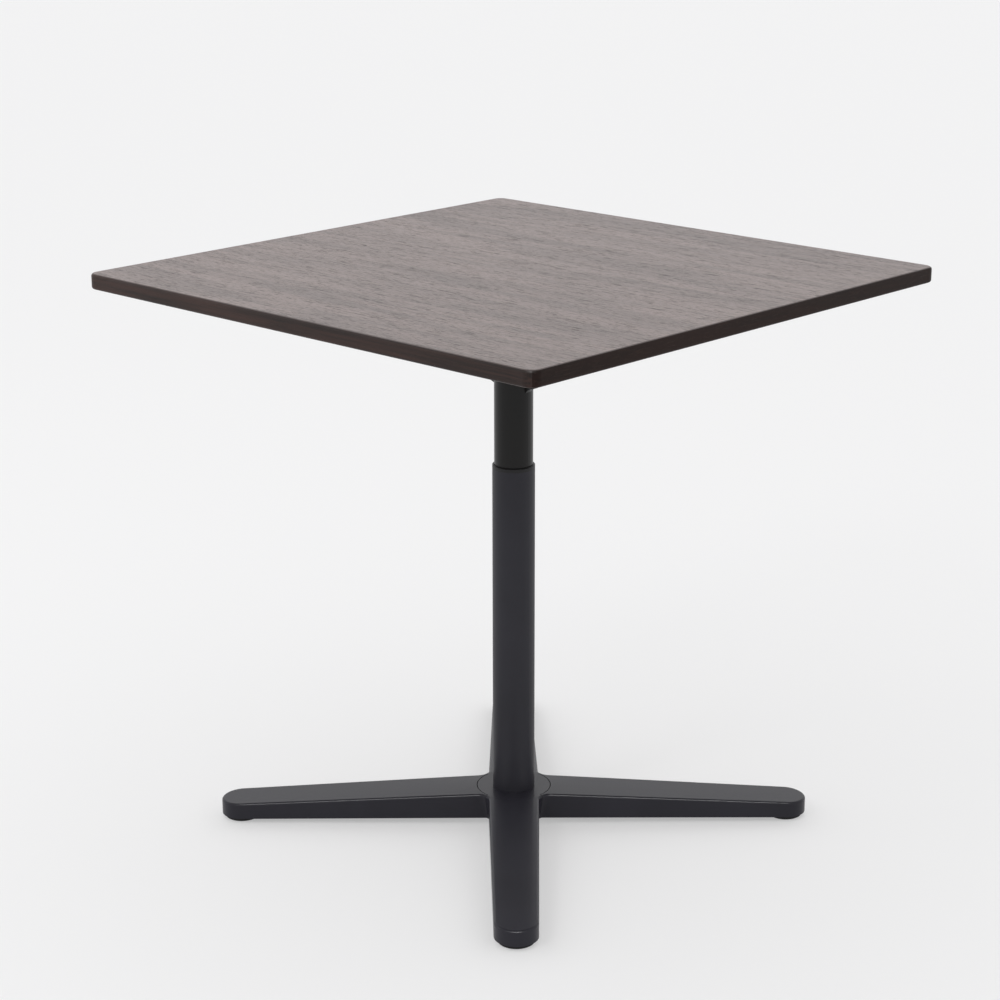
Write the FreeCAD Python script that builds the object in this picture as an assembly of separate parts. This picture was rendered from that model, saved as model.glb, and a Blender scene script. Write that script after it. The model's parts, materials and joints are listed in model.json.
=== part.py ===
"""Bistro table: square veneered flip top, telescoping column, cast four-star base.

Millimetres, +Z up.  The origin is on the floor under the column's axis, and X and Y
run along the top's edges.  The top tilts about an axis along X.
"""
import FreeCAD, Part
import math
import os

V = FreeCAD.Vector

# ---------------------------------------------------------------- driving dimensions
TABLE_HEIGHT = 740.0
TOP_SIDE = 750.0
TOP_THICKNESS = 20.0
TOP_CORNER_R = 14.0         # plan radius of the top's corners
TOP_EDGE_R = 3.5            # rounding of the top's upper and lower edges
VENEER = 0.8
LIPPING = 8.0               # width of the solid edge lippings

BASE_TWIST = -1.6           # degrees: how far the base stands off the top's diagonals
LEG_REACH = 389.0           # column axis to leg tip
LEG_HALF_WIDTH = 33.0       # at the hub
LEG_TAPER = 0.0185          # half width lost per millimetre of leg
HUB_TOP = 43.0
TIP_TOP = 26.0              # height of the leg's top at its tip
HUB_UNDER = 9.4             # underside of the castings at the hub
TIP_UNDER = 5.9             # and at the leg's tip
HUB_R = 50.0                # where the flat hub ends and the legs begin to fall
HUB_BLEND_R = 17.0          # concave blend between neighbouring legs, at the hub's top
LOW_BLEND_R = 0.5           # and at floor level, so that the corner narrows downward
LEG_EDGE_R = 3.0
DISC_R = 48.3               # hub disc of the upper casting
SEAM = 1.0                  # gap round the disc
LAP_HEIGHT = 24.0           # where the two castings lie on each other
WALL = 5.0                  # wall and skin of the castings
RIB = 4.0
POCKETS = 5                 # hollows under each leg
POCKETS_START = 66.0
POCKETS_END = 338.0

BOLT_R = 6.0                # bolt that holds the castings to the column
BOLT_HEAD_R = 10.0
BOLT_HEAD_H = 6.0
BOLT_TOP = 60.0
BASE_WASHER_R = 18.0
BASE_WASHER_LOW = 14.0
DOWEL_R = 4.0
DOWEL_CIRCLE_R = 36.0

SLEEVE_R = 27.5
SLEEVE_WALL = 1.5
SLEEVE_TOP = 488.0          # top of the guide bush's visible ring
BUSH_RING = 5.0
STEM_R = 25.0
STEM_WALL = 2.0
STEM_BOTTOM = 175.0
STEM_TOP = 584.5

PIVOT_Y = 12.0
PIVOT_Z = 684.0
PIVOT_R = 6.0               # hinge shaft
EYE_R = 14.0
FORK_GAP = 32.0             # half the space between the fork's arms
FORK_HALF = 44.0            # half the fork's outer width
FORK_FLOOR = 655.0
EAR = 8.0                   # thickness of the hinge brackets on the top
HINGE_BUSH_R = 8.0

RUNNING = 0.05              # radial clearance of a running fit
CLEAR = 0.3                 # gap between other faces that move past each other

GLIDE_S = 362.0             # glide's distance from the column's axis
GLIDE_R = 23.0
GLIDE_RIM_R = 1.5
STUD_R = 4.0
STUD_TOP = 21.0
INSERT_WALL = 2.0
INSERT_TOP = 22.0

SCREW_R = 2.5
SCREW_HEAD_R = 5.0
SCREW_HEAD_H = 2.5
SCREW_TIP = 733.0
PLATE_T = 4.0
BAR_T = 5.0
PLATE_HALF = 80.0           # hinge plate, half its size along X
PLATE_FRONT = -80.0
PLATE_BACK = 100.0
PLATE_CORNER_R = 10.0
PLATE_SCREW_Y = (-60.0, 80.0)
BAR_X = 62.5                # middle of each support bar
BAR_HALF_WIDTH = 12.5
BAR_HALF_LENGTH = 270.0
BAR_SCREW_Y = (-240.0, 240.0)

TOP_UNDER = TABLE_HEIGHT - TOP_THICKNESS
BAR_UNDER = TOP_UNDER - BAR_T
PLATE_UNDER = BAR_UNDER - PLATE_T


# ---------------------------------------------------------------- helpers
def save(shape, node):
    """Write one node, refusing anything that isn't made of valid closed solids."""
    if not shape.isValid() or not shape.Solids:
        raise RuntimeError("bad solid: " + node)
    shape.exportStep(os.path.join("parts", node + ".step"))


def cylinder(radius, low, high, x=0.0, y=0.0):
    return Part.makeCylinder(radius, high - low, V(x, y, low))


def ring(outer, inner, low, high, x=0.0, y=0.0):
    return cylinder(outer, low, high, x, y).cut(cylinder(inner, low - 1, high + 1, x, y))


def rod_x(radius, low, high, y=PIVOT_Y, z=PIVOT_Z):
    return Part.makeCylinder(radius, high - low, V(low, y, z), V(1, 0, 0))


def ring_x(outer, inner, low, high, y=PIVOT_Y, z=PIVOT_Z):
    return rod_x(outer, low, high, y, z).cut(rod_x(inner, low - 1, high + 1, y, z))


def box(x0, x1, y0, y1, z0, z1):
    return Part.makeBox(x1 - x0, y1 - y0, z1 - z0, V(x0, y0, z0))


def prism(points, direction):
    """Extrude a closed polygon of 3-D points."""
    wire = Part.makePolygon(points + [points[0]])
    return Part.Face(wire).extrude(direction)


def group(solids):
    return Part.makeCompound(solids)


def turned(shape, degrees):
    copy = shape.copy()
    copy.rotate(V(0, 0, 0), V(0, 0, 1), degrees)
    return copy


def fuse(shapes):
    return shapes[0].multiFuse(shapes[1:]).removeSplitter()


def polar(radius, degrees):
    angle = math.radians(degrees)
    return radius * math.cos(angle), radius * math.sin(angle)


# ---------------------------------------------------------------- four-star base
LEG_ANGLES = {"right": 45 + BASE_TWIST, "back": 135 + BASE_TWIST,
              "left": 225 + BASE_TWIST, "front": 315 + BASE_TWIST}


def fallen(hub, tip, s):
    """Height at distance s from the axis of a face that falls from the hub to the tip."""
    return hub + (tip - hub) * max(0.0, s - HUB_R) / (LEG_REACH - HUB_R)


def leg_top(s):
    return fallen(HUB_TOP, TIP_TOP, s)


def leg_under(s):
    return fallen(HUB_UNDER, TIP_UNDER, s)


def leg_half(s):
    return LEG_HALF_WIDTH - LEG_TAPER * (s - HUB_R)


def star_outline(blend_r, z):
    """Four tapered legs with round ends, joined by concave blends."""
    slant = math.sqrt(1 + LEG_TAPER ** 2)
    at_axis = LEG_HALF_WIDTH + LEG_TAPER * HUB_R
    tip_centre = (LEG_REACH * slant - at_axis) / (slant - LEG_TAPER)
    tip_r = LEG_REACH - tip_centre
    blend = (at_axis + blend_r * slant) / (1 + LEG_TAPER)
    nx, ny = LEG_TAPER / slant, 1 / slant
    root = (blend - blend_r * nx, blend - blend_r * ny)
    shoulder = (tip_centre + tip_r * nx, tip_r * ny)
    valley = blend - blend_r / math.sqrt(2)
    edges = []
    for quarter in range(4):
        def place(s, o):
            x, y = polar(1, 90 * quarter)
            return V(s * x - o * y, s * y + o * x, z)
        edges.append(Part.makeLine(place(root[0], -root[1]), place(shoulder[0], -shoulder[1])))
        edges.append(Part.Arc(place(shoulder[0], -shoulder[1]), place(LEG_REACH, 0),
                              place(*shoulder)).toShape())
        edges.append(Part.makeLine(place(*shoulder), place(*root)))
        edges.append(Part.Arc(place(*root), place(valley, valley),
                              place(root[1], root[0])).toShape())
    return Part.Wire(edges)


def star_blank():
    """The whole star, with falling legs and rounded upper edges, before it is split."""
    beyond = LEG_REACH + 20
    section = [(0, HUB_UNDER), (HUB_R, HUB_UNDER), (beyond, leg_under(beyond)),
               (beyond, leg_top(beyond)), (HUB_R, HUB_TOP), (0, HUB_TOP)]
    points = [V(r, 0, z) for r, z in section]
    crown = Part.Face(Part.makePolygon(points + [points[0]])).revolve(V(0, 0, 0), V(0, 0, 1), 360)
    outlines = [star_outline(LOW_BLEND_R, 0), star_outline(HUB_BLEND_R, HUB_TOP + 1)]
    blank = Part.makeLoft(outlines, True, True).common(crown)
    upper = [e for e in blank.Edges if e.BoundBox.ZMin > TIP_TOP - 1
             and max(v.Point.sub(V(0, 0, v.Z)).Length for v in e.Vertexes) > HUB_R + 1]
    return blank.makeFillet(LEG_EDGE_R, upper)


def wedge(degrees, gap):
    """A quarter of the plan round one leg's direction, held back by gap from its limits."""
    start = gap * math.sqrt(2)
    far = 600.0
    points = [V(start, 0, 0), V(start + far, -far, 0), V(start + far, far, 0)]
    return turned(prism(points, V(0, 0, 100)), degrees)


def leg_pockets():
    """Hollows under one leg along +X, with ribs between them."""
    pitch = (POCKETS_END - POCKETS_START) / POCKETS
    pockets = []
    for index in range(POCKETS):
        near = POCKETS_START + index * pitch
        far = near + pitch - RIB
        a, b = leg_half(near) - WALL, leg_half(far) - WALL
        floor = [V(near, -a, 0), V(far, -b, 0), V(far, b, 0), V(near, a, 0)]
        pockets.append(prism(floor, V(0, 0, leg_top(far) - WALL)))
    return pockets


def castings():
    """The star split into the upper casting, with the hub disc, and the lower one."""
    star = star_blank()
    hollows = leg_pockets() + [cylinder(STUD_R + INSERT_WALL, 0, INSERT_TOP, GLIDE_S)]
    disc = cylinder(DISC_R, LAP_HEIGHT, HUB_TOP)
    under_disc = cylinder(DISC_R + 2 * SEAM, 0, LAP_HEIGHT)
    plate = cylinder(DISC_R + SEAM, HUB_UNDER, LAP_HEIGHT)
    recess = cylinder(DISC_R + SEAM, LAP_HEIGHT, HUB_TOP + 1)
    made = []
    for hub, room, angles in ((disc, under_disc, (90, 270)), (plate, recess, (0, 180))):
        arms = star.common(fuse([wedge(angle, SEAM / 4) for angle in angles])).cut(room)
        hollow = group([turned(tool, angle) for angle in angles for tool in hollows])
        made.append(turned(fuse([arms, hub]).cut(hollow), 45 + BASE_TWIST))
    return made


def make_base():
    upper, lower = castings()
    washer_top = BASE_WASHER_LOW + WASHER_T
    bore = cylinder(BOLT_R, 0, BOLT_TOP)
    recess = cylinder(BASE_WASHER_R + 2, 0, washer_top)
    dowels = group([cylinder(DOWEL_R, LAP_HEIGHT - 8, LAP_HEIGHT + 12, *polar(DOWEL_CIRCLE_R, angle))
                    for angle in (20, 200)])
    save(upper.cut(bore).cut(dowels), "front_leg_casting")
    save(lower.cut(recess).cut(bore).cut(dowels), "side_leg_casting")
    save(dowels, "hub_dowels")
    head = cylinder(BOLT_HEAD_R, BASE_WASHER_LOW - BOLT_HEAD_H, BASE_WASHER_LOW)
    save(fuse([cylinder(BOLT_R, BASE_WASHER_LOW, BOLT_TOP), head]), "base_bolt")
    save(ring(BASE_WASHER_R, BOLT_R, BASE_WASHER_LOW, washer_top), "base_washer")
    low = leg_under(GLIDE_S) + 1
    inserts = [ring(STUD_R + INSERT_WALL, STUD_R + RUNNING, low, INSERT_TOP, *polar(GLIDE_S, angle))
               for angle in LEG_ANGLES.values()]
    save(group(inserts), "glide_inserts")


# ---------------------------------------------------------------- column
SLEEVE_INNER = SLEEVE_R - SLEEVE_WALL
STEM_INNER = STEM_R - STEM_WALL
PLUG_TOP = 66.0
BUSH_DEPTH = 60.0           # how far the guide bush reaches into the sleeve
SLIDE_BUSH = 50.0           # length of the bush round the stem's lower end
GAS_R = 14.0
GAS_BORE = 12.0
GAS_TOP = 310.0
GLAND = 8.0
GAS_ROD_R = 5.0
ROD_BOTTOM = 200.0
ROD_TOP = 612.0
PISTON = 12.0


def make_column():
    tube_top = SLEEVE_TOP - BUSH_RING
    save(ring(SLEEVE_R, SLEEVE_INNER, HUB_TOP, tube_top), "sleeve_tube")
    plug = cylinder(SLEEVE_INNER, HUB_TOP, PLUG_TOP)
    save(plug.cut(cylinder(BOLT_R, 0, BOLT_TOP)), "sleeve_plug")

    visible = cylinder(SLEEVE_R, tube_top, SLEEVE_TOP)
    rim = [e for e in visible.Edges if e.BoundBox.ZMin > SLEEVE_TOP - 0.1]
    visible = visible.makeChamfer(0.8, rim)
    bush = fuse([visible, cylinder(SLEEVE_INNER, tube_top - BUSH_DEPTH, tube_top)])
    save(bush.cut(cylinder(STEM_R + RUNNING, 0, TABLE_HEIGHT)), "guide_bush")

    gas_body = cylinder(GAS_R, PLUG_TOP, GAS_TOP)
    save(gas_body.cut(cylinder(GAS_BORE, PLUG_TOP + 4, GAS_TOP + 1)), "gas_spring_cylinder")
    save(ring(GAS_R, GAS_ROD_R + RUNNING, GAS_TOP, GAS_TOP + GLAND), "gas_spring_gland")

    save(ring(STEM_R, STEM_INNER, STEM_BOTTOM, STEM_TOP), "stem_tube")
    slide_top = STEM_BOTTOM + SLIDE_BUSH
    save(ring(SLEEVE_INNER - RUNNING, STEM_R, STEM_BOTTOM, slide_top), "slide_bush")
    save(cylinder(GAS_ROD_R, ROD_BOTTOM, ROD_TOP), "gas_spring_rod")
    piston_low = ROD_BOTTOM + 2
    save(ring(GAS_BORE - RUNNING, GAS_ROD_R, piston_low, piston_low + PISTON), "gas_spring_piston")


# ---------------------------------------------------------------- tilting head
SHAFT_LEFT = -(FORK_HALF + 1)
SHAFT_HEAD_R = 10.0
CAM_R = 11.0
WASHER_R = 12.0
WASHER_T = 2.0
CAM_X = FORK_HALF + WASHER_T + CLEAR + CAM_R
CAM_PIN_R = 2.5
RELEASE_Y = -12.0           # pivot of the release lever
RELEASE_Z = 661.0
RELEASE_AXLE_R = 3.0
RELEASE_PIN_R = 2.5
BUTTON_TOP = 657.4
STEM_PIN_R = 3.0
ARM_TOP = PIVOT_Z + EYE_R
BUFFER_R = 5.0
BUFFER_X = 38.0
BUFFER_Y = -14.0
FLARE_HALF = 37.0           # half length of the web where the flare ends
FLARE_TOP = 593.0
WEB_HALF = 5.0              # half thickness of the web
WEB_TOP = 612.0
SHOULDER = 8.0              # straight height of the web over the flare
ARM_BOTTOM = FLARE_TOP + 24     # where the fork has its full width
ARM_FRONT = -22.0
SOCKET_TOP = 640.0          # where the round socket over the stem ends
SPIGOT = 46.0               # how far the head reaches into the stem
PIN_BORE_R = 4.0            # bore over the release pin


def web_face():
    """The fork seen along Y: a concave flare out of the stem, then the two arms' width."""
    root = STEM_R - 1
    rise = FLARE_TOP - STEM_TOP
    edges = []
    for side in (-1, 1):
        start, end = V(side * root, 0, STEM_TOP), V(side * FLARE_HALF, 0, FLARE_TOP)
        bend = V(side * (root + 0.36 * (FLARE_HALF - root)), 0, STEM_TOP + 0.64 * rise)
        edges.append(Part.Arc(start, bend, end).toShape())
        outer = [end, V(side * FLARE_HALF, 0, FLARE_TOP + SHOULDER),
                 V(side * FORK_HALF, 0, ARM_BOTTOM), V(side * FORK_HALF, 0, ARM_TOP)]
        edges += [Part.makeLine(a, b) for a, b in zip(outer, outer[1:])]
    edges.append(Part.makeLine(V(-root, 0, STEM_TOP), V(root, 0, STEM_TOP)))
    edges.append(Part.makeLine(V(-FORK_HALF, 0, ARM_TOP), V(FORK_HALF, 0, ARM_TOP)))
    return Part.Face(Part.Wire(Part.__sortEdges__(edges)))


def head_fork():
    """Block that widens out of the stem into two arms with the hinge's eyes."""
    wide = web_face().extrude(V(0, 100, 0))
    wide.translate(V(0, -50, 0))
    back = PIVOT_Y + EYE_R
    side = prism([V(0, -WEB_HALF, STEM_TOP), V(0, WEB_HALF, STEM_TOP), V(0, WEB_HALF, WEB_TOP),
                  V(0, back, SOCKET_TOP), V(0, back, PIVOT_Z), V(0, back - EYE_R / 2, ARM_TOP),
                  V(0, ARM_FRONT, ARM_TOP), V(0, ARM_FRONT, SOCKET_TOP), V(0, -WEB_HALF, WEB_TOP)],
                 V(100, 0, 0))
    side.translate(V(-50, 0, 0))
    socket = cylinder(STEM_R, STEM_TOP, SOCKET_TOP)
    spigot = cylinder(STEM_INNER, STEM_TOP - SPIGOT, STEM_TOP)
    block = fuse([wide.common(side), socket, spigot])
    return block.cut(box(-FORK_GAP, FORK_GAP, -60, 60, FORK_FLOOR, TABLE_HEIGHT))


def make_head():
    fork = head_fork()
    fork = fork.cut(cylinder(GAS_ROD_R, 0, ROD_TOP))
    fork = fork.cut(cylinder(PIN_BORE_R, ROD_TOP - 1, FORK_FLOOR + 1))
    fork = fork.cut(rod_x(PIVOT_R, -FORK_HALF - 1, FORK_HALF + 1))
    release_axle = rod_x(RELEASE_AXLE_R, -FORK_GAP - 6, FORK_GAP + 6, RELEASE_Y, RELEASE_Z)
    stem_pin = rod_x(STEM_PIN_R, -STEM_INNER, STEM_INNER, 0, STEM_TOP - 20)
    stem_pin = stem_pin.common(cylinder(STEM_INNER, 0, STEM_TOP))
    stem_pin = stem_pin.cut(cylinder(GAS_ROD_R + 0.5, 0, STEM_TOP))
    save(fork.cut(release_axle).cut(stem_pin), "head_fork")
    save(stem_pin, "stem_cross_pins")
    save(release_axle, "release_lever_axle")

    pin = cylinder(CAM_PIN_R, PIVOT_Z - CAM_R, PIVOT_Z + CAM_R, CAM_X, PIVOT_Y)
    shaft_head = rod_x(SHAFT_HEAD_R, SHAFT_LEFT - 5, SHAFT_LEFT)
    shaft = fuse([rod_x(PIVOT_R, SHAFT_LEFT, CAM_X + 7), shaft_head])
    save(shaft.cut(pin), "hinge_shaft")
    save(pin, "clamp_pin")
    washers = [ring_x(WASHER_R, PIVOT_R, FORK_HALF, FORK_HALF + WASHER_T),
               ring_x(WASHER_R, PIVOT_R, SHAFT_LEFT, -FORK_HALF)]
    save(group(washers), "hinge_washers")
    inner = FORK_GAP - CLEAR - EAR - CLEAR
    save(ring_x(SHAFT_HEAD_R - 1, PIVOT_R, -inner, inner), "hinge_spacer")
    buffers = [cylinder(BUFFER_R, ARM_TOP, PLATE_UNDER - CLEAR, side * BUFFER_X, BUFFER_Y)
               for side in (-1, 1)]
    save(group(buffers), "stop_buffers")


def make_clamp_lever():
    """Quick-release lever: two cheeks straddle the shaft's end and join in the arm."""
    inner = PIVOT_R + CLEAR
    arm_start, arm_end, half = 12.0, 60.0, 7.0
    low, high = PIVOT_Z - CAM_R, PIVOT_Z + CAM_R
    cheek = cylinder(CAM_R, low, high, CAM_X, PIVOT_Y)
    arm = box(CAM_X - half, CAM_X + half, PIVOT_Y - arm_end, PIVOT_Y, low, high)
    slot = box(CAM_X - 40, CAM_X + 40, PIVOT_Y - arm_start, PIVOT_Y + 40,
               PIVOT_Z - inner, PIVOT_Z + inner)
    bore = cylinder(CAM_PIN_R + RUNNING, low - 1, high + 1, CAM_X, PIVOT_Y)
    lever = fuse([cheek, arm]).cut(slot).cut(bore)
    save(lever, "clamp_lever")
    grip_start, grip_end, grip_half = PIVOT_Y - 38.0, PIVOT_Y - 98.0, 9.0
    grip = box(CAM_X - grip_half, CAM_X + grip_half, grip_end, grip_start, low - 2, high + 2)
    save(grip.makeFillet(5, grip.Edges).cut(lever), "clamp_lever_grip")


def make_release():
    """Pull lever in the fork that presses the gas spring's release pin."""
    thick, half = 5.0, 9.0
    low = RELEASE_Z - RELEASE_AXLE_R
    blade_end, blade_back = -80.0, 6.0
    blade = box(-half, half, blade_end, blade_back, low, low + thick)
    hub = rod_x(RELEASE_AXLE_R + 2, -half, half, RELEASE_Y, RELEASE_Z)
    hub = hub.common(box(-half, half, -30, 10, low, low + 20))
    bore = rod_x(RELEASE_AXLE_R + RUNNING, -half - 1, half + 1, RELEASE_Y, RELEASE_Z)
    lever = fuse([blade, hub]).cut(bore)
    save(lever, "release_lever")
    grip_end, grip_start, skin = -104.0, -58.0, 3.0
    grip = box(-half - skin, half + skin, grip_end, grip_start, low - skin, low + thick + skin)
    save(grip.makeFillet(3.5, grip.Edges).cut(lever), "release_lever_grip")
    save(cylinder(RELEASE_PIN_R, ROD_TOP + 2, BUTTON_TOP), "release_pin")


# ---------------------------------------------------------------- table top
def whole_top():
    half = TOP_SIDE / 2
    blank = box(-half, half, -half, half, TOP_UNDER, TABLE_HEIGHT)
    corners = [e for e in blank.Edges if e.BoundBox.ZLength > TOP_THICKNESS / 2]
    blank = blank.makeFillet(TOP_CORNER_R, corners)
    rims = [e for e in blank.Edges if e.BoundBox.ZLength < 0.01]
    return blank.makeFillet(TOP_EDGE_R, rims)


def hinge_bracket(side):
    """Ear that hangs from the plate inside the fork, with an eye for its bush."""
    outer = FORK_GAP - CLEAR
    low = min(side * outer, side * (outer - EAR))
    web = prism([V(low, PIVOT_Y - 26, PLATE_UNDER), V(low, PIVOT_Y + 26, PLATE_UNDER),
                 V(low, PIVOT_Y + EYE_R, PIVOT_Z), V(low, PIVOT_Y - EYE_R, PIVOT_Z)],
                V(EAR, 0, 0))
    ear = fuse([web, rod_x(EYE_R, low, low + EAR)])
    return ear.cut(rod_x(HINGE_BUSH_R, low - 1, low + EAR + 1)), low


def top_screw(x, y, under):
    shank = cylinder(SCREW_R, under, SCREW_TIP, x, y)
    return fuse([shank, cylinder(SCREW_HEAD_R, under - SCREW_HEAD_H, under, x, y)])


def top_screws():
    """Screws through plate and bars, and screws at the bars' ends."""
    plate, bar = [], []
    for x in (-BAR_X, BAR_X):
        plate += [top_screw(x, y, PLATE_UNDER) for y in PLATE_SCREW_Y]
        bar += [top_screw(x, y, BAR_UNDER) for y in BAR_SCREW_Y]
    return plate, bar


def make_top():
    half = TOP_SIDE / 2
    solid = whole_top()
    plate_screws, bar_screws = top_screws()
    screws = group(plate_screws + bar_screws)
    veneer = solid.common(box(-half, half, -half, half, TABLE_HEIGHT - VENEER, TABLE_HEIGHT))
    backing = solid.common(box(-half, half, -half, half, TOP_UNDER, TOP_UNDER + VENEER))
    middle = solid.common(box(-half, half, -half, half, TOP_UNDER + VENEER, TABLE_HEIGHT - VENEER))
    inner = half - LIPPING
    core = middle.common(box(-inner, inner, -inner, inner, 0, TABLE_HEIGHT))
    band = middle.cut(box(-inner, inner, -inner, inner, 0, TABLE_HEIGHT))
    save(veneer, "top_veneer")
    save(backing.cut(screws), "backing_veneer")
    save(core.cut(screws), "top_core")
    far = TOP_SIDE
    quarter = prism([V(0, 0, 0), V(far, -far, 0), V(far, far, 0)], V(0, 0, far))
    for name, angle in (("right", 0), ("back", 90), ("left", 180), ("front", 270)):
        save(band.common(turned(quarter, angle)), "edge_lipping_" + name)

    plate = box(-PLATE_HALF, PLATE_HALF, PLATE_FRONT, PLATE_BACK, PLATE_UNDER, BAR_UNDER)
    corners = [e for e in plate.Edges if e.BoundBox.ZLength > PLATE_T / 2]
    save(plate.makeFillet(PLATE_CORNER_R, corners).cut(screws), "hinge_plate")
    for side, name in ((-1, "left"), (1, "right")):
        middle_x = side * BAR_X
        bar = box(middle_x - BAR_HALF_WIDTH, middle_x + BAR_HALF_WIDTH,
                  -BAR_HALF_LENGTH, BAR_HALF_LENGTH, BAR_UNDER, TOP_UNDER)
        save(bar.cut(screws), "support_bar_" + name)
        ear, low = hinge_bracket(side)
        save(ear, "hinge_bracket_" + name)
        save(ring_x(HINGE_BUSH_R, PIVOT_R + RUNNING, low, low + EAR), "hinge_bush_" + name)
    save(group(plate_screws), "plate_screws")
    save(group(bar_screws), "bar_screws")


# ---------------------------------------------------------------- levelling glides
def make_glides():
    pad_top = leg_under(GLIDE_S + GLIDE_R) - CLEAR
    stud_bottom = 3.0
    for name, angle in LEG_ANGLES.items():
        x, y = polar(GLIDE_S, angle)
        pad = cylinder(GLIDE_R, 0, pad_top, x, y)
        rims = [e for e in pad.Edges if e.BoundBox.ZLength < 0.01]
        pad = pad.makeFillet(GLIDE_RIM_R, rims)
        stud = cylinder(STUD_R, stud_bottom, STUD_TOP, x, y)
        save(pad.cut(stud), "glide_pad_" + name)
        save(stud, "glide_stud_" + name)


os.makedirs("parts", exist_ok=True)
make_base()
make_column()
make_head()
make_clamp_lever()
make_release()
make_top()
make_glides()
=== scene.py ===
import json
import math

import bmesh
import bpy
from mathutils import Matrix, Vector


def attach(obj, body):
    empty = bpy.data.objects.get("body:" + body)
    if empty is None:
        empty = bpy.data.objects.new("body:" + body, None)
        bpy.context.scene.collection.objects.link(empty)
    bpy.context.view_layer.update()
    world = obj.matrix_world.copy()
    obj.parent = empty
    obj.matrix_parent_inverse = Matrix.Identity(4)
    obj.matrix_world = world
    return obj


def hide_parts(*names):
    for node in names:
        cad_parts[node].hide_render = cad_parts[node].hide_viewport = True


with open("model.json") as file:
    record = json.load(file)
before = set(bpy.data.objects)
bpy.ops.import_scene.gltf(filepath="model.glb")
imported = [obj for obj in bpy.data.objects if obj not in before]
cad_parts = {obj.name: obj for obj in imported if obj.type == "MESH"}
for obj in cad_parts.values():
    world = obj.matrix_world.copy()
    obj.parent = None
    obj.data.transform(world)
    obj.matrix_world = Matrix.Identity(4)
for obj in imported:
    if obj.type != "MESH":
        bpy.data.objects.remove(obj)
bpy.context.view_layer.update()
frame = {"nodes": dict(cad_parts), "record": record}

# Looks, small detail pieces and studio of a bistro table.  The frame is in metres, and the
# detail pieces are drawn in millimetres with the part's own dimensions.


nodes = frame["nodes"]
scene = bpy.context.scene


# ---------------------------------------------------------------- camera
CAMERA_PLACE = Vector((1.9839, -2.1343, 1.3300))
CAMERA_FORWARD = Vector((-0.65529, 0.69651, -0.29234))
CAMERA_ROLL = math.radians(-0.110)
CAMERA_LENS = 85.41
SENSOR = 36.0


def make_camera():
    data = bpy.data.cameras.new("camera")
    data.lens = CAMERA_LENS
    data.sensor_width = SENSOR
    data.clip_end = 100
    camera = bpy.data.objects.new("camera", data)
    scene.collection.objects.link(camera)
    turn = CAMERA_FORWARD.to_track_quat("-Z", "Y").to_matrix().to_4x4()
    roll = Matrix.Rotation(CAMERA_ROLL, 4, "Z")
    camera.matrix_world = Matrix.Translation(CAMERA_PLACE) @ turn @ roll
    scene.camera = camera


# ---------------------------------------------------------------- material helpers
class Shader:
    """A node material with one Principled shader and short calls to build its inputs."""

    def __init__(self, name, **values):
        self.material = bpy.data.materials.new(name)
        self.material.use_nodes = True
        self.tree = self.material.node_tree
        self.bsdf = next(n for n in self.tree.nodes if n.type == "BSDF_PRINCIPLED")
        self.place = None
        for socket, value in values.items():
            self.bsdf.inputs[socket.replace("_", " ")].default_value = value

    def node(self, kind, inputs=None, **settings):
        """A new node. An input is keyed by name or number and takes a value or a socket."""
        made = self.tree.nodes.new(kind)
        for key, value in settings.items():
            setattr(made, key, value)
        for key, value in (inputs or {}).items():
            if isinstance(value, bpy.types.NodeSocket):
                self.tree.links.new(value, made.inputs[key])
            else:
                made.inputs[key].default_value = value
        return made

    def coordinates(self, scale):
        """Object coordinates, which are the row frame in metres, scaled per axis."""
        if self.place is None:
            self.place = self.node("ShaderNodeTexCoord").outputs["Object"]
        mapped = self.node("ShaderNodeMapping", {"Vector": self.place, "Scale": scale})
        return mapped.outputs["Vector"]

    def noise(self, scale, detail=3.0, rough=0.55, twist=0.0):
        made = self.node("ShaderNodeTexNoise", {"Vector": self.coordinates(scale), "Scale": 1.0,
                                                "Detail": detail, "Roughness": rough,
                                                "Distortion": twist})
        return made.outputs["Fac"]

    def ramp(self, value, low, high):
        """Smooth step from 0 at low to 1 at high."""
        made = self.node("ShaderNodeMapRange", {"Value": value, "From Min": low, "From Max": high},
                         clamp=True, interpolation_type="SMOOTHSTEP")
        return made.outputs["Result"]

    def spread(self, value, low, high):
        """Value from 0 to 1 spread over low to high."""
        made = self.node("ShaderNodeMapRange", {"Value": value, "To Min": low, "To Max": high})
        return made.outputs["Result"]

    def math(self, operation, *values):
        return self.node("ShaderNodeMath", dict(enumerate(values)), operation=operation).outputs[0]

    def mix(self, factor, a, b):
        """Colour a where the factor is 0 and b where it is 1."""
        colours = [value if isinstance(value, bpy.types.NodeSocket) else (*value, 1)
                   for value in (a, b)]
        made = self.node("ShaderNodeMix", {0: factor, 6: colours[0], 7: colours[1]},
                         data_type="RGBA")
        return made.outputs[2]

    def drive(self, socket, value):
        self.tree.links.new(value, self.bsdf.inputs[socket])

    def bump(self, height, depth, strength=1.0):
        """Bump whose height runs from 0 to 1 over depth metres."""
        made = self.node("ShaderNodeBump", {"Height": height, "Distance": depth,
                                            "Strength": strength})
        self.drive("Normal", made.outputs["Normal"])


def darker(colour, share):
    return tuple(share * part for part in colour)


# ---------------------------------------------------------------- materials
VENEER_LIGHT = (0.184, 0.130, 0.115)
VENEER_DARK = (0.100, 0.066, 0.057)
LIPPING_LIGHT = (0.036, 0.0160, 0.0120)
LIPPING_DARK = (0.012, 0.0058, 0.0045)
PORE_COLOUR = (0.028, 0.016, 0.012)
PORE_DEPTH = 0.00012


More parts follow.
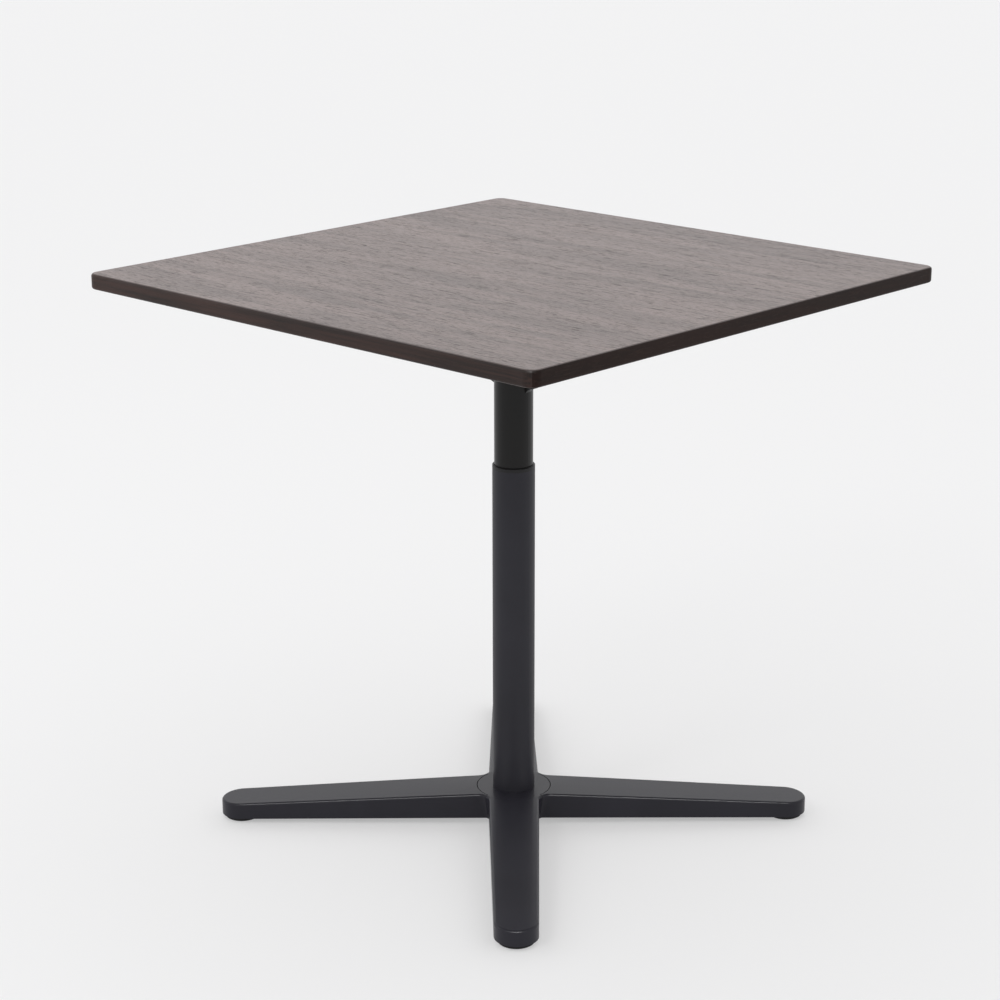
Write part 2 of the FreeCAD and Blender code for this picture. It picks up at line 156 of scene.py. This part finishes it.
def wood(name, along, light, dark, rough, pores=1.0, shine=0.5, rim=False):
    """Stained open-pore wood with its grain along one axis of the row.

    With rim, faces that turn away from level have the darker stain of the lippings.
    """
    def stretched(length, width):
        """Noise scale for marks of this length along the grain and this width across it."""
        return tuple(1 / length if axis == along else 1 / width for axis in range(3))

    made = Shader(name, Specular_IOR_Level=shine)
    figure = made.noise(stretched(0.40, 0.040), detail=4, twist=0.8)
    lines = made.noise(stretched(0.16, 0.0042), detail=3, rough=0.6)
    tone = made.math("ADD", made.math("MULTIPLY", figure, 0.55),
                     made.math("MULTIPLY", lines, 0.45))
    colour = made.mix(made.ramp(tone, 0.38, 0.60), dark, light)
    streaks = made.noise(stretched(0.024, 0.0015), detail=2.5, rough=0.6, twist=0.4)
    fine = made.noise(stretched(0.009, 0.0009), detail=1.5, rough=0.5)
    crowd = made.noise(stretched(0.10, 0.022), detail=2)
    open_at = made.spread(crowd, 0.66, 0.52)
    streak = made.ramp(made.math("SUBTRACT", streaks, open_at), 0.0, 0.06)
    speck = made.ramp(fine, 0.54, 0.68)
    pore = made.math("MAXIMUM", streak, made.math("MULTIPLY", speck, 0.60))
    pore = made.math("MULTIPLY", pore, pores)
    colour = made.mix(pore, colour, PORE_COLOUR)
    if rim:
        normal = made.node("ShaderNodeTexCoord").outputs["Normal"]
        rise = made.node("ShaderNodeSeparateXYZ", {"Vector": normal}).outputs["Z"]
        level = made.math("ABSOLUTE", rise)
        colour = made.mix(made.ramp(level, 0.93, 0.985), LIPPING_LIGHT, colour)
    made.drive("Base Color", colour)
    made.drive("Roughness", made.math("ADD", made.spread(lines, rough - 0.05, rough + 0.05),
                                      made.math("MULTIPLY", pore, 0.25)))
    height = made.math("SUBTRACT", made.math("MULTIPLY", fine, 0.25), pore)
    made.bump(height, PORE_DEPTH, 0.8)
    return made.material


def powder_coat(name, colour, rough, shine, grain=0.00045, depth=0.00002, gloss=0.0):
    """Painted metal with a fine orange peel; gloss is the share of a smooth clear coat."""
    made = Shader(name, Specular_IOR_Level=shine, Coat_Weight=gloss, Coat_Roughness=0.13)
    orange = made.noise((1 / grain,) * 3, detail=2)
    cloud = made.noise((9.0,) * 3, detail=3)
    made.drive("Base Color", made.mix(made.ramp(cloud, 0.3, 0.7), darker(colour, 0.8), colour))
    made.drive("Roughness", made.spread(cloud, rough - 0.06, rough + 0.06))
    made.bump(orange, depth)
    return made.material


def moulded(name, colour, rough, grain=0.0006):
    """Plastic or rubber with a fine leather grain."""
    made = Shader(name, Specular_IOR_Level=0.30)
    leather = made.noise((1 / grain,) * 3, detail=3, rough=0.6)
    patch = made.noise((40.0,) * 3, detail=2)
    made.drive("Base Color", made.mix(patch, darker(colour, 0.75), colour))
    made.drive("Roughness", made.spread(leather, rough - 0.08, rough + 0.08))
    made.bump(leather, 0.00003)
    return made.material


def brushed(name, colour, rough):
    """Bare metal with fine marks along X."""
    made = Shader(name, Metallic=1.0)
    streak = made.noise((60.0, 2600.0, 2600.0), detail=2)
    cloud = made.noise((70.0,) * 3, detail=2)
    made.drive("Base Color", made.mix(cloud, darker(colour, 0.7), colour))
    made.drive("Roughness", made.spread(streak, rough - 0.1, rough + 0.1))
    made.bump(streak, 0.000008)
    return made.material


def board(name):
    """Pressed chips of a bare core board."""
    made = Shader(name, Roughness=0.85)
    where = made.coordinates((250.0, 250.0, 700.0))
    cells = made.node("ShaderNodeTexVoronoi", {"Vector": where, "Scale": 1.0})
    chip = cells.outputs["Distance"]
    made.drive("Base Color", made.mix(made.ramp(chip, 0.1, 0.9), (0.46, 0.33, 0.20),
                                      (0.27, 0.17, 0.09)))
    made.bump(chip, 0.0002)
    return made.material


def make_materials():
    lipping = dict(light=LIPPING_LIGHT, dark=LIPPING_DARK, rough=0.42, pores=0.6, shine=0.22)
    # The lippings along Y face ±X and get a darker copy of the lipping stain with less shine. This
    # is painted shade for the edge that lies in shade, not a different wood.
    painted_shade_lipping = dict(lipping, light=darker(LIPPING_LIGHT, 0.45), shine=0.10)
    black = (0.0205, 0.0198, 0.0268)
    return {
        "veneer": wood("veneer", 0, VENEER_LIGHT, VENEER_DARK, 0.46, shine=0.75, rim=True),
        "lipping_x": wood("lipping_along_x", 0, **lipping),
        "lipping_y_painted_shade": wood("lipping_along_y_painted_shade", 1, **painted_shade_lipping),
        "core_board": board("core_board"),
        "cast_coat": powder_coat("cast_coat", black, 0.42, 0.10, gloss=0.22),
        "powder_coat": powder_coat("powder_coat", black, 0.48, 0.25),
        "stem_coat": powder_coat("stem_coat", (0.0075, 0.0072, 0.0070), 0.30, 0.22,
                                 grain=0.0008, depth=0.000006),
        "hardware_coat": powder_coat("hardware_coat", (0.013, 0.013, 0.014), 0.42, 0.30),
        "steel": brushed("zinc_steel", (0.62, 0.62, 0.60), 0.34),
        "black_plastic": moulded("black_plastic", (0.010, 0.010, 0.011), 0.48),
        "pale_plastic": moulded("bearing_plastic", (0.70, 0.67, 0.58), 0.40),
        "glide_plastic": moulded("glide_plastic", (0.010, 0.010, 0.011), 0.55),
        "rubber": moulded("rubber", (0.010, 0.010, 0.010), 0.75, 0.0009),
    }


materials = make_materials()


def dress_nodes():
    """Each node gets the material of its slot; lippings have their grain along their length, and
    those along Y get the darker copy whose stain is painted shade.
    """
    slots = {s["node"]: s["material_slot"] for s in frame["record"]["subparts"]}
    for name, node in nodes.items():
        slot = slots[name]
        if slot == "lipping":
            # Lippings along Y take the darker copy, whose stain is painted shade.
            slot = "lipping_x" if name.endswith(("front", "back")) else "lipping_y_painted_shade"
        node.data.materials.clear()
        node.data.materials.append(materials[slot])


# ---------------------------------------------------------------- detail pieces
MM = 0.001
SMOOTH_BELOW = math.radians(32)


def piece(name, verts, faces, body, slot, replaced):
    """A closed mesh piece given in millimetres, with sharp edges kept and round faces smooth."""
    mesh = bpy.data.meshes.new(name)
    mesh.from_pydata([Vector(v) * MM for v in verts], [], faces)
    work = bmesh.new()
    work.from_mesh(mesh)
    bmesh.ops.recalc_face_normals(work, faces=work.faces)
    for face in work.faces:
        face.smooth = True
    for edge in work.edges:
        edge.smooth = edge.calc_face_angle(0.0) < SMOOTH_BELOW
    work.to_mesh(mesh)
    work.free()
    mesh.materials.append(materials[slot])
    made = bpy.data.objects.new(name, mesh)
    scene.collection.objects.link(made)
    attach(made, body)
    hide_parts(*replaced)


def skin(rings):
    """Faces between rings of vertex numbers; a ring of one vertex closes an end."""
    faces = []
    for low, high in zip(rings, rings[1:]):
        count = max(len(low), len(high))
        for k in range(count):
            n = (k + 1) % count
            if len(low) == 1:
                faces.append((low[0], high[n], high[k]))
            elif len(high) == 1:
                faces.append((low[k], low[n], high[0]))
            else:
                faces.append((low[k], low[n], high[n], high[k]))
    return faces


def lathe(profile, segments=48):
    """Solid turned about Z. A profile point is (radius, z) or (half across flats, z, sides)."""
    verts, rings = [], []
    for radius, z, *sides in profile:
        if radius == 0:
            rings.append([len(verts)])
            verts.append((0, 0, z))
            continue
        rings.append(range(len(verts), len(verts) + segments))
        for k in range(segments):
            angle = 2 * math.pi * k / segments
            reach = radius
            if sides:
                flat = math.pi / sides[0]
                reach = radius / math.cos((angle % (2 * flat)) - flat)
            verts.append((reach * math.cos(angle), reach * math.sin(angle), z))
    return verts, skin(rings)


def loft(sections, segments=48, power=4.0):
    """Solid along Y through superellipses (y, centre x, centre z, half width, half height)."""
    verts, rings = [], []
    first, last = sections[0], sections[-1]
    rings.append([0])
    verts.append((first[1], first[0], first[2]))
    for y, x, z, wide, high in sections:
        rings.append(range(len(verts), len(verts) + segments))
        for k in range(segments):
            c, s = math.cos(2 * math.pi * k / segments), math.sin(2 * math.pi * k / segments)
            verts.append((x + wide * math.copysign(abs(c) ** (2 / power), c), y,
                          z + high * math.copysign(abs(s) ** (2 / power), s)))
    rings.append([len(verts)])
    verts.append((last[1], last[0], last[2]))
    return verts, skin(rings)


def copies(shape, places):
    """The same solid at several places, as one mesh."""
    verts, faces = [], []
    for x, y, z in places:
        base = len(verts)
        verts += [(a + x, b + y, c + z) for a, b, c in shape[0]]
        faces += [tuple(base + index for index in face) for face in shape[1]]
    return verts, faces


CLAMP_PIN = (57.3, 12.0, 684.0)
CLAMP_GRIP_START = CLAMP_PIN[1] - 38
CLAMP_GRIP_LENGTH = 59.8
RELEASE_GRIP_START = -58.2
RELEASE_GRIP_LENGTH = 45.6
RELEASE_GRIP_Z = 660.5
GRIP_STEPS = 66
RIBS_PER_GRIP = 12                  # if the ribs ran from end to end
GLIDE_S = 362.0
GLIDE_ANGLES = {"right": 43.4, "back": 133.4, "left": 223.4, "front": 313.4}
SCREW_X = 62.5
SCREW_TIP = 733.0


def rounding(t, start, end):
    """Quarter circles at a grip's two ends, from 0 at the very end to 1 past them."""
    return math.sqrt(max(0.0, 1 - (1 - min(1.0, t / start, (1 - t) / end)) ** 2))


def rib_groove(t, first, last, depth):
    """How deep the surface lies below a grip's ribs, which run from first to last."""
    if not first < t < last:
        return 0.0
    return depth * (0.5 - 0.5 * math.cos(2 * math.pi * (t - first) * RIBS_PER_GRIP))


def make_grips():
    """Ribbed grips of the clamp lever and the release lever."""
    clamp, release = [], []
    for t in [k / GRIP_STEPS for k in range(GRIP_STEPS + 1)]:
        round_off = rounding(t, 0.07, 0.10)
        waist = 1 - 0.12 * math.sin(math.pi * min(1.0, t / 0.8)) ** 2
        groove = rib_groove(t, 0.25, 0.833, 0.45)
        wide = 8.9 * waist * (0.35 + 0.65 * round_off) - groove
        high = 12.9 * (0.40 + 0.60 * round_off) - groove
        clamp.append((CLAMP_GRIP_START - CLAMP_GRIP_LENGTH * t, CLAMP_PIN[0], CLAMP_PIN[2],
                      wide, high))
        round_off = rounding(t, 0.08, 0.08)
        wide = (9.6 + 2.2 * (t * t * (3 - 2 * t))) * (0.5 + 0.5 * round_off)
        high = 5.4 * (0.55 + 0.45 * round_off) - rib_groove(t, 0.4, 0.9, 0.4)
        release.append((RELEASE_GRIP_START - RELEASE_GRIP_LENGTH * t, 0.0, RELEASE_GRIP_Z,
                        wide, high))
    piece("clamp_grip_ribbed", *loft(clamp), "clamp", "black_plastic", ["clamp_lever_grip"])
    piece("release_grip_ribbed", *loft(release), "release", "black_plastic",
          ["release_lever_grip"])


def make_screws():
    """Domed socket screws under the top, and the socket bolt under the base."""
    hexagon = 6
    for name, under, spots in (("plate_screws", 711.0, (-60.0, 80.0)),
                               ("bar_screws", 715.0, (-240.0, 240.0))):
        screw = lathe([(0, -1.0), (1.6, -1.0, hexagon), (1.6, -2.35, hexagon), (2.15, -2.48),
                       (3.3, -2.3), (4.4, -1.7), (4.95, -0.8), (5.0, 0), (2.5, 0),
                       (2.5, SCREW_TIP - under), (0, SCREW_TIP - under)], 36)
        places = [(x, y, under) for x in (-SCREW_X, SCREW_X) for y in spots]
        piece("socket_" + name, *copies(screw, places), "table_top", "steel", [name])
    bolt = lathe([(0, 11.4), (4.1, 11.4, hexagon), (4.1, 8.3, hexagon), (4.9, 8.0), (8.8, 8.0),
                  (9.7, 8.5), (10, 9.4), (10, 14), (6, 14), (6, 60), (0, 60)], 60)
    piece("socket_base_bolt", *bolt, "base", "steel", ["base_bolt"])


def make_pads():
    """Turned glide pads with a soft rim and a groove round the middle."""
    pad = lathe([(0, 0.0), (19.4, 0.0), (21.2, 0.25), (22.3, 0.95), (22.9, 1.9), (22.9, 2.3),
                 (22.55, 2.5), (22.55, 2.8), (22.95, 3.0), (22.95, 4.4), (22.5, 5.2), (21.6, 5.55),
                 (5.2, 5.55), (4.6, 5.3), (0, 5.3)], 72)
    for name, angle in GLIDE_ANGLES.items():
        turn = math.radians(angle)
        place = (GLIDE_S * math.cos(turn), GLIDE_S * math.sin(turn), 0)
        piece("turned_pad_" + name, *copies(pad, [place]), "glide_" + name, "glide_plastic",
              ["glide_pad_" + name])


EDGE_WIDTHS = {"head_fork": 1.6, "clamp_lever": 0.8, "release_lever": 0.5, "hinge_plate": 0.5,
               "hinge_bracket_left": 0.6, "hinge_bracket_right": 0.6,
               "support_bar_left": 0.5, "support_bar_right": 0.5}


def soften():
    """Small rounded edges on the cast head and the pressed hardware."""
    for name, width in EDGE_WIDTHS.items():
        bevel = nodes[name].modifiers.new("soft_edges", "BEVEL")
        bevel.width = width * MM
        bevel.segments = 3
        bevel.limit_method = "ANGLE"
        bevel.angle_limit = math.radians(40)
        bevel.harden_normals = True


# ---------------------------------------------------------------- studio
SKY_STRENGTH = 1.15
SKY_FALL = (-0.22, 0.235, -0.30)    # brighter behind the table and low down, darker overhead
LIGHT_TARGET = Vector((0, 0, 0.4))
FLOOR_REACH = 40.0


def area_light(name, place, size, power):
    """Rectangular light that faces the middle of the column."""
    data = bpy.data.lights.new(name, "AREA")
    data.shape = "RECTANGLE"
    data.size, data.size_y = size
    data.energy = power
    light = bpy.data.objects.new(name, data)
    scene.collection.objects.link(light)
    light.location = place
    light.rotation_euler = (LIGHT_TARGET - light.location).to_track_quat("-Z", "Y").to_euler()
    return light


def make_floor():
    """Pale floor that glows a little, so that shadows stay soft."""
    mesh = bpy.data.meshes.new("studio_floor")
    corners = [(x * FLOOR_REACH, y * FLOOR_REACH, 0)
               for x, y in ((-1, -1), (1, -1), (1, 1), (-1, 1))]
    mesh.from_pydata(corners, [], [(0, 1, 2, 3)])
    floor = bpy.data.objects.new("studio_floor", mesh)
    scene.collection.objects.link(floor)
    pale = Shader("studio_floor", Roughness=0.9, Specular_IOR_Level=0.1, Emission_Strength=0.40)
    pale.bsdf.inputs["Base Color"].default_value = (0.50, 0.50, 0.50, 1)
    pale.bsdf.inputs["Emission Color"].default_value = (1, 1, 1, 1)
    mesh.materials.append(pale.material)


def make_sky():
    """White sky whose strength changes with the direction."""
    world = bpy.data.worlds.new("studio")
    world.use_nodes = True
    tree = world.node_tree
    toward = tree.nodes.new("ShaderNodeTexCoord").outputs["Generated"]
    facing = tree.nodes.new("ShaderNodeVectorMath")
    facing.operation = "DOT_PRODUCT"
    tree.links.new(toward, facing.inputs[0])
    facing.inputs[1].default_value = SKY_FALL
    strength = tree.nodes.new("ShaderNodeMath")
    tree.links.new(facing.outputs["Value"], strength.inputs[0])
    strength.inputs[1].default_value = SKY_STRENGTH
    sky = tree.nodes["Background"]
    sky.inputs["Color"].default_value = (0.99, 0.99, 1.0, 1)
    tree.links.new(strength.outputs[0], sky.inputs["Strength"])
    scene.world = world


def make_lights():
    glow = area_light("glow_front", (2.15, -2.30, 3.3), (3.0, 1.5), 240)
    glow.visible_diffuse = False    # it only puts highlights on rounded edges
    area_light("key_left", (-0.10, -3.10, 3.0), (0.9, 0.9), 12)
    area_light("side_left", (-2.6, -2.2, 1.6), (0.8, 2.4), 7)


scene.view_settings.view_transform = "Standard"
make_camera()
make_floor()
make_sky()
make_lights()
dress_nodes()
make_grips()
make_screws()
make_pads()
soften()
